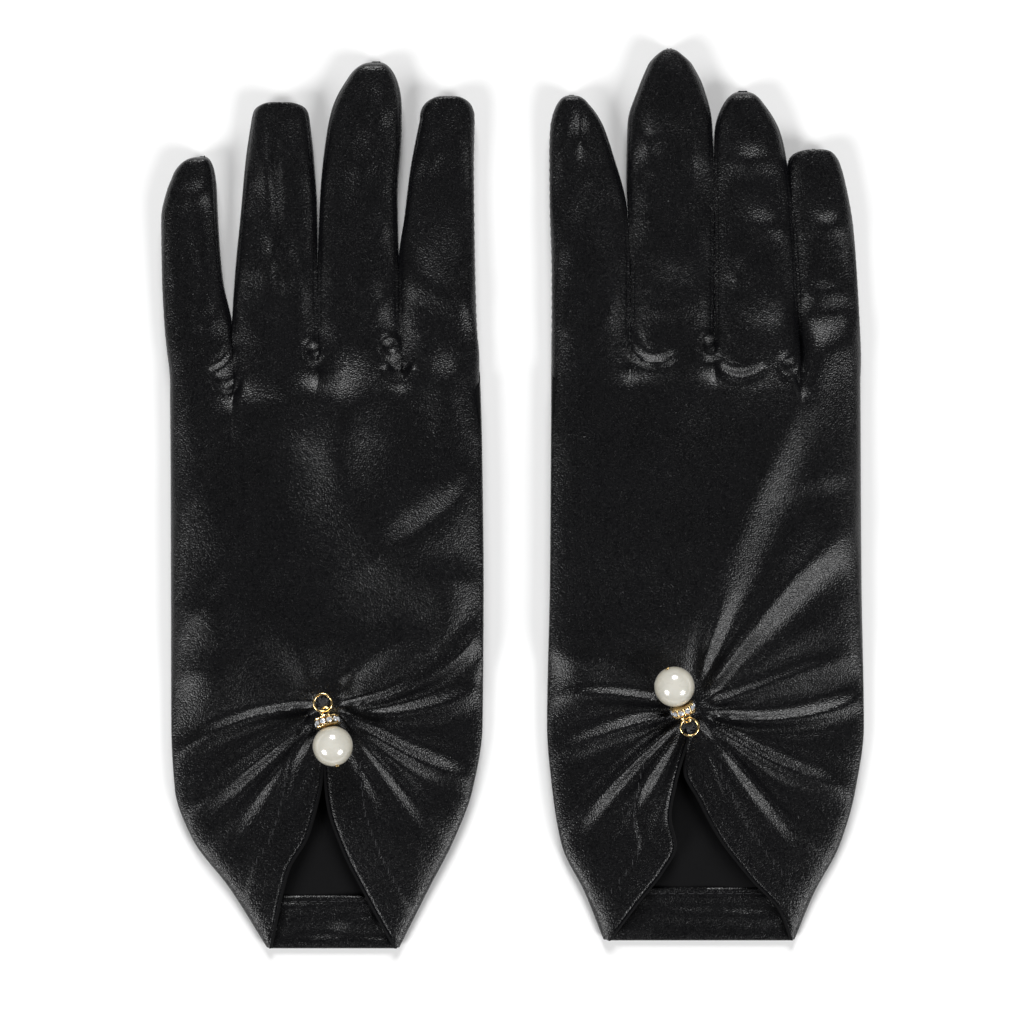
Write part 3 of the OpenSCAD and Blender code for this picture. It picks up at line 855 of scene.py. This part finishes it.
def finger_tube(glove, f):
    """Rows of points round a finger: over the top at T_TOP, and back underneath at T_UNDER."""
    edges, length, tip_s, rounding, square = glove.lay["fingers"][f]
    middle = glove.middle[f]
    straight = length - rounding
    low = np.linspace(-BEND, straight, int((straight + BEND) / FINGER_ROW))
    u = np.sin(np.linspace(0, math.pi / 2, 18))[1:]
    rows = np.concatenate([low, straight + rounding * u])
    lines = []
    for row in rows:
        u = max(0.0, (row - straight) / rounding)
        k = max(TIP_WIDTH, max(0.0, 1 - min(u, 1) ** square) ** (1 / square))
        parted = smooth(-BEND, 7, row)
        left, right = [
            mix(wall, middle + mix(tip_s, float(curve([(e[0], e[i]) for e in edges], max(row, 0))),
                                   k), parted)
            for i, wall in ((1, glove.walls[f + 1]), (2, glove.walls[f]))]
        lines.append(ring_of(glove, f, row, left, right, k))
    return np.array(lines), rows


def ring_of(glove, f, row, left, right, k):
    """One ring of a finger from side to side; k is the share of its width left near the tip."""
    seed = glove.lay["seed"] + 20 + f
    knuckle, parting = glove.knuckle[f], glove.lay["parting"]
    apart = float(smooth(2, 14, row))
    low_apart = float(smooth(*parting[f], row)) if f < 3 else 1.0
    high_apart = float(smooth(*parting[f - 1], row)) if f > 0 else 1.0
    low, high = [mix(VALLEY_Z, FINGER_SEAM_Z, a) for a in (low_apart, high_apart)]
    low_power, high_power = [mix(VALLEY_POWER, SEAM_POWER, a) for a in (low_apart, high_apart)]
    closing = smooth(0.75, TIP_WIDTH, k)
    crown = mix(FINGER_TOP[f], FINGER_SEAM_Z, closing ** 2)
    floor = mix(LIFT, FINGER_SEAM_Z, closing ** 3)
    crown = crown + 0.25 * math.sin(row * 0.11 + f) * apart * (1 - closing)
    points = []
    for t, over in ((T_TOP, True), (T_UNDER, False)):
        s = (left + right) / 2 + (right - left) / 2 * t
        y = np.full_like(s, knuckle + row)
        if f == 2 and row < 0:
            # the ring finger's root follows the step in the hand's front edge
            y = mix(glove.front(s), y, (row + BEND) / BEND)
        base = mix(low, high, (t + 1) / 2)
        if over:
            z = base + (crown - base) * crowned(t, mix(2.8, 3.8, apart), low_power, high_power)
            # at the root the folds fade as the hand's do, so that the two edges meet
            inside = mix(glove.inside(s, y), 1 - np.abs(t) ** 6, smooth(-BEND, 8, row))
            slack = 0.22 * waves(seed, 16, 40, s, y) + 0.02 * waves(seed + 50, 5, 9, s, y)
            shape = sum(-depth * bump(s, y, glove.middle[f] + s0, knuckle + y0, *form)
                        for g, s0, y0, *form, depth in glove.lay["dents"] if g == f)
            z = z + (inside * mix(glove.relief(s, y), slack + shape, smooth(4, 16, row))
                     * (1 - closing))
        else:
            slack = 0.15 * (waves(seed + 70, 8, 20, s, y) * 0.5 + 0.8)
            z = base - (base - floor) * crowned(t, 4, low_power, high_power)
            z = z + (1 - t ** 4) * apart * slack * (1 - closing)
        points.append(np.stack([s, y, z], axis=-1))
    return np.concatenate(points)


def groove(points, column, rows):
    """Pulls a seam's column in towards the finger's middle, with a pucker at each stitch."""
    middle = points.mean(axis=1)
    for shift, share in ((0, 1.0), (-1, 0.35), (1, 0.35)):
        c = (column + shift) % points.shape[1]
        toward = middle - points[:, c]
        toward /= np.maximum(np.linalg.norm(toward, axis=1), 1e-6)[:, None]
        pull = 0.16 * share * (1 + 0.5 * np.sin(rows * 2 * math.pi / 2.3)) * smooth(1, 6, rows)
        points[:, c] += toward * pull[:, None]


def build_finger(glove, f):
    """A finger's back, its palm side and its side strips, from a little behind the knuckle line to
    the tip.
    """
    name = FINGERS[f]
    points, rows = finger_tube(glove, f)
    knuckle = glove.knuckle[f]
    n_top, n = len(T_TOP), points.shape[1]
    gusset_left, gusset_right = f < 3, f > 0

    def seam(places, t):
        return int(np.argmin(np.abs(places - t)))

    # column numbers of the seams: top or under, left or right
    seam_tl = seam(T_TOP, -GUSSET_T) if gusset_left else 0
    seam_tr = seam(T_TOP, GUSSET_T) if gusset_right else n_top - 1
    seam_ur = n_top + seam(T_UNDER, GUSSET_T) if gusset_right else n_top - 1
    seam_ul = n_top + seam(T_UNDER, -GUSSET_T) if gusset_left else n
    for c in sorted({seam_tl, seam_tr, seam_ur % n, seam_ul % n}):
        groove(points, c, rows)
    closed = np.concatenate([points, points[:, :1]], axis=1)
    node_name = f"{glove.name}_{name}"
    back = cloth(glove, f"{name}_sleeve_back", closed[:, seam_tl:seam_tr + 1])
    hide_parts(f"{node_name}_finger_back")
    under = cloth(glove, f"{name}_sleeve_palm", closed[:, seam_ur:seam_ul + 1])
    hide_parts(f"{node_name}_finger_palm")
    pieces = [back, under]
    if gusset_right:
        strip = cloth(glove, f"{name}_side_strip_thumb_side", closed[:, seam_tr:seam_ur + 1])
        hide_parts(f"{node_name}_gusset" if f == 3 else f"{node_name}_gusset_thumb_side")
        pieces.append(strip)
    if gusset_left:
        wrapped = np.concatenate([closed[:, seam_ul:n], closed[:, :seam_tl + 1]], axis=1)
        strip = cloth(glove, f"{name}_side_strip_little_side", wrapped)
        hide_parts(f"{node_name}_gusset" if f == 0 else f"{node_name}_gusset_little_side")
        pieces.append(strip)
    start = glove.world([glove.middle[f], knuckle - BEND, 3.0])
    end = glove.world([glove.middle[f], knuckle + BEND, 3.0])
    for obj in pieces:
        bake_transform(obj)


# ---- the thumb ----

def build_thumb(glove):
    """The thumb tucked flat under the palm, sewn to the palm round its hole."""
    root = thumb_root(glove)
    roof = max(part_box(f"{glove.name}_thumb_{p}")[1].z for p in ("back", "palm")) / MM - 0.12
    lean = math.asin((THUMB_ROOT_R - THUMB_TIP_R) / THUMB_LENGTH)
    rows = np.concatenate([-THUMB_ROOT_R * np.cos(np.linspace(0, 1.35, 16)),
                           np.linspace(-1.6, THUMB_LENGTH, 56),
                           THUMB_LENGTH + THUMB_TIP_R * np.sin(np.linspace(0.08, math.pi / 2, 18))])
    rows = np.unique(np.round(rows, 5))

    def half_width(u):
        if u < THUMB_ROOT_R * math.sin(lean):
            return math.sqrt(max(THUMB_ROOT_R ** 2 - u ** 2, 0))
        if u > THUMB_LENGTH + THUMB_TIP_R * math.sin(lean):
            return math.sqrt(max(THUMB_TIP_R ** 2 - (u - THUMB_LENGTH) ** 2, 0))
        return (THUMB_ROOT_R - u * math.sin(lean)) / math.cos(lean)

    q = np.linspace(-1, 1, 46)
    t = mix(q, np.sin(q * math.pi / 2), 0.6)
    seam_z = 1.7
    tuck = math.radians(THUMB_TUCK)
    along = np.array([-math.sin(tuck), math.cos(tuck)])
    sideways = np.array([math.cos(tuck), math.sin(tuck)])
    sheets = []
    for seed, is_back in ((90, True), (91, False)):
        lines = []
        for u in rows:
            w = half_width(u)
            a, b = t * w, np.full_like(t, u)
            bulge = (1 - np.abs(t) ** 6) ** 0.5 * min(1, w / (0.55 * THUMB_TIP_R)) ** 0.7
            slack = 0.10 * waves(glove.lay["seed"] + seed, 8, 20, a, b)
            top = roof - 0.25 - slack * 0.5
            z = seam_z + ((top if is_back else LIFT) - seam_z) * bulge
            xy = root + b[:, None] * along + a[:, None] * sideways
            lines.append(np.concatenate([xy, z[:, None]], axis=1))
        sheets.append(np.array(lines))
    back = cloth(glove, "thumb_sleeve_back", snap_to_hole(sheets[0], root, 0.4), thickness=0.45,
                 cut=in_hole(root))
    under = cloth(glove, "thumb_sleeve_palm", sheets[1], thickness=0.45, flip=True)
    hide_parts(glove.name + "_thumb_back")
    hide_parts(glove.name + "_thumb_palm")
    turn = np.linspace(0, 2 * math.pi, 96, endpoint=False)
    ring = np.stack([root[0] + 8.75 * np.cos(turn), root[1] + 8.75 * np.sin(turn),
                     roof - 0.02 + 0.08 * np.sin(turn * 24)], axis=-1)
    seam_ring = thread_object(glove, "thumb_seam", [tube(ring, 0.22, 8, closed=True)])
    for obj in (back, under, seam_ring):
        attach(obj, glove.name + "_thumb")


# ---- the charm ----

def centre(name):
    lo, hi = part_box(name)
    return np.array((lo + hi) / 2) / MM


def pin_frame(glove):
    """The charm in the row frame, mm: ring middle, radius and wire, eye, pearl, pin direction."""
    ring, bead = centre(glove.name + "_jump_ring"), centre(glove.name + "_pearl")
    flat = bead - ring
    heading = math.atan2(flat[1], flat[0])
    lo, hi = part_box(glove.name + "_jump_ring")
    wire = (hi.z - lo.z) / MM / 2
    ring_r = (hi.x - lo.x) / MM / 2 - wire
    eye = ring + ring_r * np.array([math.cos(heading), math.sin(heading), 0])
    axis = (bead - eye) / np.linalg.norm(bead - eye)
    return ring, ring_r, wire, eye, bead, axis


def along_pin(v, origin, axis):
    """Points whose +Z is along the pin, moved to origin; +X stays level."""
    level = np.cross([0, 0, 1.0], axis)
    level /= np.linalg.norm(level)
    up = np.cross(axis, level)
    v = np.asarray(v, float).reshape(-1, 3)
    return (origin + v[:, :1] * level + v[:, 1:2] * up + v[:, 2:] * axis) * MM


def gem(radius, sides=8):
    """A small cut stone: table, crown facets, girdle and a shallow pavilion, along +Z."""
    rings = [(0.55, 0.52), (0.92, 0.24), (1.0, 0.04), (1.0, -0.08), (0.35, -0.55)]
    v, faces = [], []
    for k, (r, z) in enumerate(rings):
        shift = math.pi / sides if k % 2 else 0
        for i in range(sides):
            a = 2 * math.pi * i / sides + shift
            v.append((radius * r * math.cos(a), radius * r * math.sin(a), radius * z))
    for k in range(len(rings) - 1):
        for i in range(sides):
            j = (i + 1) % sides
            a, b = k * sides, (k + 1) * sides
            if k % 2 == 0:
                faces += [(a + i, b + i, a + j), (a + j, b + i, b + j)]
            else:
                faces += [(a + i, b + i, b + j), (a + i, b + j, a + j)]
    faces.append(tuple(range(sides)))
    faces.append(tuple((len(rings) - 1) * sides + i for i in range(sides))[::-1])
    return np.array(v), faces


def hard_piece(glove, name, parts, material, body, node, smooth_angle=40):
    """A hard piece from (vertices, faces) in metres, which takes the place of its CAD node."""
    obj = mesh_object(f"{glove.name}_{name}", parts, smooth_angle)
    bm = bmesh.new()
    bm.from_mesh(obj.data)
    bmesh.ops.recalc_face_normals(bm, faces=bm.faces)
    bm.to_mesh(obj.data)
    bm.free()
    obj.data.materials.append(material)
    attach(obj, f"{glove.name}_{body}")
    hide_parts(f"{glove.name}_{node}")


def build_charm(glove):
    """The pearl, the rondelle with its stones, the eye pin through them and the jump ring."""
    ring, ring_r, wire, eye, bead, axis = pin_frame(glove)
    pearl_lo, pearl_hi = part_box(glove.name + "_pearl")
    bead_r = (pearl_hi.z - pearl_lo.z) / MM / 2
    reach = float(np.linalg.norm(bead - eye))

    def on_pin(part, origin=eye):
        return along_pin(part[0], origin, axis), part[1]

    rondelle_mid = float((centre(glove.name + "_rondelle") - eye) @ axis)

    # pearl: a round bead with a small dimple round each end of its hole
    hole = wire + 0.1
    polar = np.linspace(0.13, math.pi - 0.13, 60)
    outside = [(bead_r * math.sin(a), -bead_r * math.cos(a)) for a in polar]
    profile = [(hole, -bead_r + 0.5), (hole, -bead_r + 0.08), *outside,
               (hole, bead_r - 0.08), (hole, bead_r - 0.5), (hole, -bead_r + 0.5)]
    hard_piece(glove, "pearl_bead", [on_pin(lathe(profile, 96), bead)],
               PEARL, "charm", "pearl")

    # rondelle: two wavy flanges, a waist, and a collar that the stones sit in
    t, r = RONDELLE_T, RONDELLE_R
    z0 = rondelle_mid - t / 2
    bore = wire + 0.06
    waist = r - 1.25
    half = [(r - 0.35, 0), (r - 0.05, 0.08), (r, 0.2), (r - 0.08, 0.36), (r - 0.45, 0.46),
            (waist, 0.55)]
    profile = [(bore, z0), *((pr, z0 + d) for pr, d in half), (waist - 0.1, z0 + t / 2),
               *((pr, z0 + t - d) for pr, d in half[::-1]), (bore, z0 + t), (bore, z0)]
    rim = {i for i, (pr, _) in enumerate(profile) if pr > r - 0.5}
    parts = [on_pin(lathe(profile, 120, lambda a, i: (
        1 - 0.045 * (1 - np.cos(a * STONES)) if i in rim else 1)))]
    for i in range(STONES):
        a = 2 * math.pi * (i + 0.5) / STONES
        mid = np.array([(r - 0.5) * math.cos(a), (r - 0.5) * math.sin(a), 0])
        path = [mid + [0, 0, z0 + 0.3 + k * (t - 0.6)] for k in np.linspace(0, 1, 5)]
        parts.append(on_pin(tube(path, 0.17, 8)))
    hard_piece(glove, "rondelle_setting", parts, GOLD, "charm", "rondelle")

    parts = []
    for i in range(STONES):
        a = 2 * math.pi * i / STONES
        gv, gf = gem(0.74)
        out = np.array([math.cos(a), math.sin(a), 0])
        side = np.array([-math.sin(a), math.cos(a), 0])
        placed = ((r - 0.42) * out + [0, 0, z0 + t / 2] + gv[:, 2:] * out
                  + gv[:, :1] * side + gv[:, 1:2] * np.array([0, 0, 1.0]))
        parts.append(on_pin((placed, gf)))
    hard_piece(glove, "cut_stones", parts, STONE, "charm", "rondelle_stones", 12)

    # eye pin: the loop round the ring, a wrapped neck, the shaft and a ball head past the pearl
    turn = np.linspace(-math.pi / 2 + 0.25, 1.5 * math.pi - 0.12, 40)
    eye_r = 1.0
    loop = [(eye_r * math.cos(a + math.pi), 0, eye_r * math.sin(a + math.pi)) for a in turn]
    shaft = [(0, 0, z) for z in np.linspace(eye_r * 0.98, reach + bead_r + 0.15, 12)]
    neck = [(0.42 * math.cos(a), 0.42 * math.sin(a), eye_r + 0.12 + 0.09 * a)
            for a in np.linspace(0, 2 * math.pi, 20)]
    pieces = [tube(loop, wire, 12), tube(shaft, wire, 12), tube(neck, 0.14, 8)]
    head = [(0.0, 0.0), (0.36, 0.02), (0.5, 0.12), (0.52, 0.24), (0.4, 0.36), (0.0, 0.4)]
    v, f = lathe(head, 32)
    pieces.append((v + [0, 0, reach + bead_r - 0.02], f))
    hard_piece(glove, "pin_wire", [on_pin(part) for part in pieces],
               GOLD, "charm", "eye_pin")

    # jump ring: an open ring whose two ends meet side by side
    heading = math.atan2(axis[1], axis[0])
    turn = np.linspace(math.radians(4), math.radians(356), 72) + heading + math.radians(115)
    v, f = tube([ring + [ring_r * math.cos(a), ring_r * math.sin(a),
                         0.05 * math.sin((a - heading) / 2)] for a in turn], wire, 14)
    hard_piece(glove, "jump_ring_wire", [(v * MM, f)], GOLD, "ring", "jump_ring")
    build_tack(glove, ring, wire)


def build_tack(glove, ring, wire):
    """Thread wound round the gathered cloth, and a few loops that hold the jump ring."""
    local = np.array([glove.side * (ring[0] - glove.x), ring[1] - glove.y])
    strands = []
    rng = np.random.default_rng(glove.lay["seed"] + 40)
    for k in range(9):
        a = 2 * math.pi * k / 9 + rng.uniform(-0.2, 0.2)
        foot = 1.5 + rng.uniform(-0.3, 0.5)
        top = ring[2] + wire * 0.6
        path = []
        for t in np.linspace(0, 1, 9):
            rr = mix(foot, 0.42, t ** 0.6)
            turn = a + 0.9 * t
            path.append((local[0] + rr * math.cos(turn), local[1] + rr * math.sin(turn),
                         mix(4.6, top, t)))
        strands.append(tube(path, 0.17, 8))
    for z in np.linspace(5.9, ring[2] - 0.3, 9):
        turn = np.linspace(0, 2 * math.pi, 20, endpoint=False)
        r = mix(0.85, 0.62, (z - 5.9) / (ring[2] - 6.2))
        loop = [(local[0] + r * math.cos(a), local[1] + r * math.sin(a), z + 0.1 * math.sin(a))
                for a in turn]
        strands.append(tube(loop, 0.16, 8, closed=True))
    dome = [(0.66, 0), (0.62, 0.22), (0.4, 0.4), (0.0, 0.46)]
    v, f = lathe(dome, 24)
    strands.append((v + [local[0], local[1], ring[2] - 0.15], f))
    tack = thread_object(glove, "thread_tack", strands)
    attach(tack, glove.name + "_hand")
    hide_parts(glove.name + "_gather_tack")


# ---- everything ----

for g in GLOVES:
    build_hand(g)
    for number in range(4):
        build_finger(g, number)
    build_thumb(g)
    build_charm(g)


# ---- floor, lights and camera ----

def floor():
    mesh = bpy.data.meshes.new("floor")
    e = 15.0
    mesh.from_pydata([(-e, -e, 0), (e, -e, 0), (e, e, 0), (-e, e, 0)], [], [(0, 1, 2, 3)])
    obj = bpy.data.objects.new("floor", mesh)
    bpy.context.scene.collection.objects.link(obj)
    table = Surface("white_table", Roughness=0.9, Base_Color=(0.93, 0.93, 0.93, 1),
                    Specular_IOR_Level=0.0)
    mesh.materials.append(table.mat)
    obj.location.z = -0.0002


def soft_sun(name, toward, strength):
    """A broad distant light, so that the table is evenly lit as far as it reaches."""
    data = bpy.data.lights.new(name, "SUN")
    data.energy = strength
    data.angle = math.radians(26)
    obj = bpy.data.objects.new(name, data)
    bpy.context.scene.collection.objects.link(obj)
    obj.rotation_euler = (-Vector(toward)).to_track_quat("-Z", "Y").to_euler()


def studio_world(light, backdrop):
    """A dim room for the reflections, and a pale backdrop where the camera looks past the table."""
    world = bpy.data.worlds.new("studio")
    world.use_nodes = True
    nodes, links = world.node_tree.nodes, world.node_tree.links
    room = nodes["Background"]
    seen = nodes.new("ShaderNodeBackground")
    for background, strength in ((room, light), (seen, backdrop)):
        background.inputs["Color"].default_value = (1, 1, 1, 1)
        background.inputs["Strength"].default_value = strength
    path = nodes.new("ShaderNodeLightPath")
    either = nodes.new("ShaderNodeMixShader")
    links.new(path.outputs["Is Camera Ray"], either.inputs[0])
    links.new(room.outputs["Background"], either.inputs[1])
    links.new(seen.outputs["Background"], either.inputs[2])
    links.new(either.outputs[0], nodes["World Output"].inputs["Surface"])
    bpy.context.scene.world = world


floor()
soft_sun("back_light", (0.0, 1.0, 0.62), 2.7)
soft_sun("front_left_light", (-0.85, -0.62, 0.66), 2.1)
soft_sun("front_right_light", (0.85, -0.62, 0.66), 2.1)
studio_world(0.092, 0.95)

camera = bpy.data.objects.new("camera", bpy.data.cameras.new("camera"))
camera.data.lens = 100
camera.data.sensor_width = 36
camera.location = (0, -0.00325, 0.717)
bpy.context.scene.collection.objects.link(camera)
bpy.context.scene.camera = camera
bpy.context.scene.view_settings.view_transform = "Standard"

bpy.context.view_layer.update()
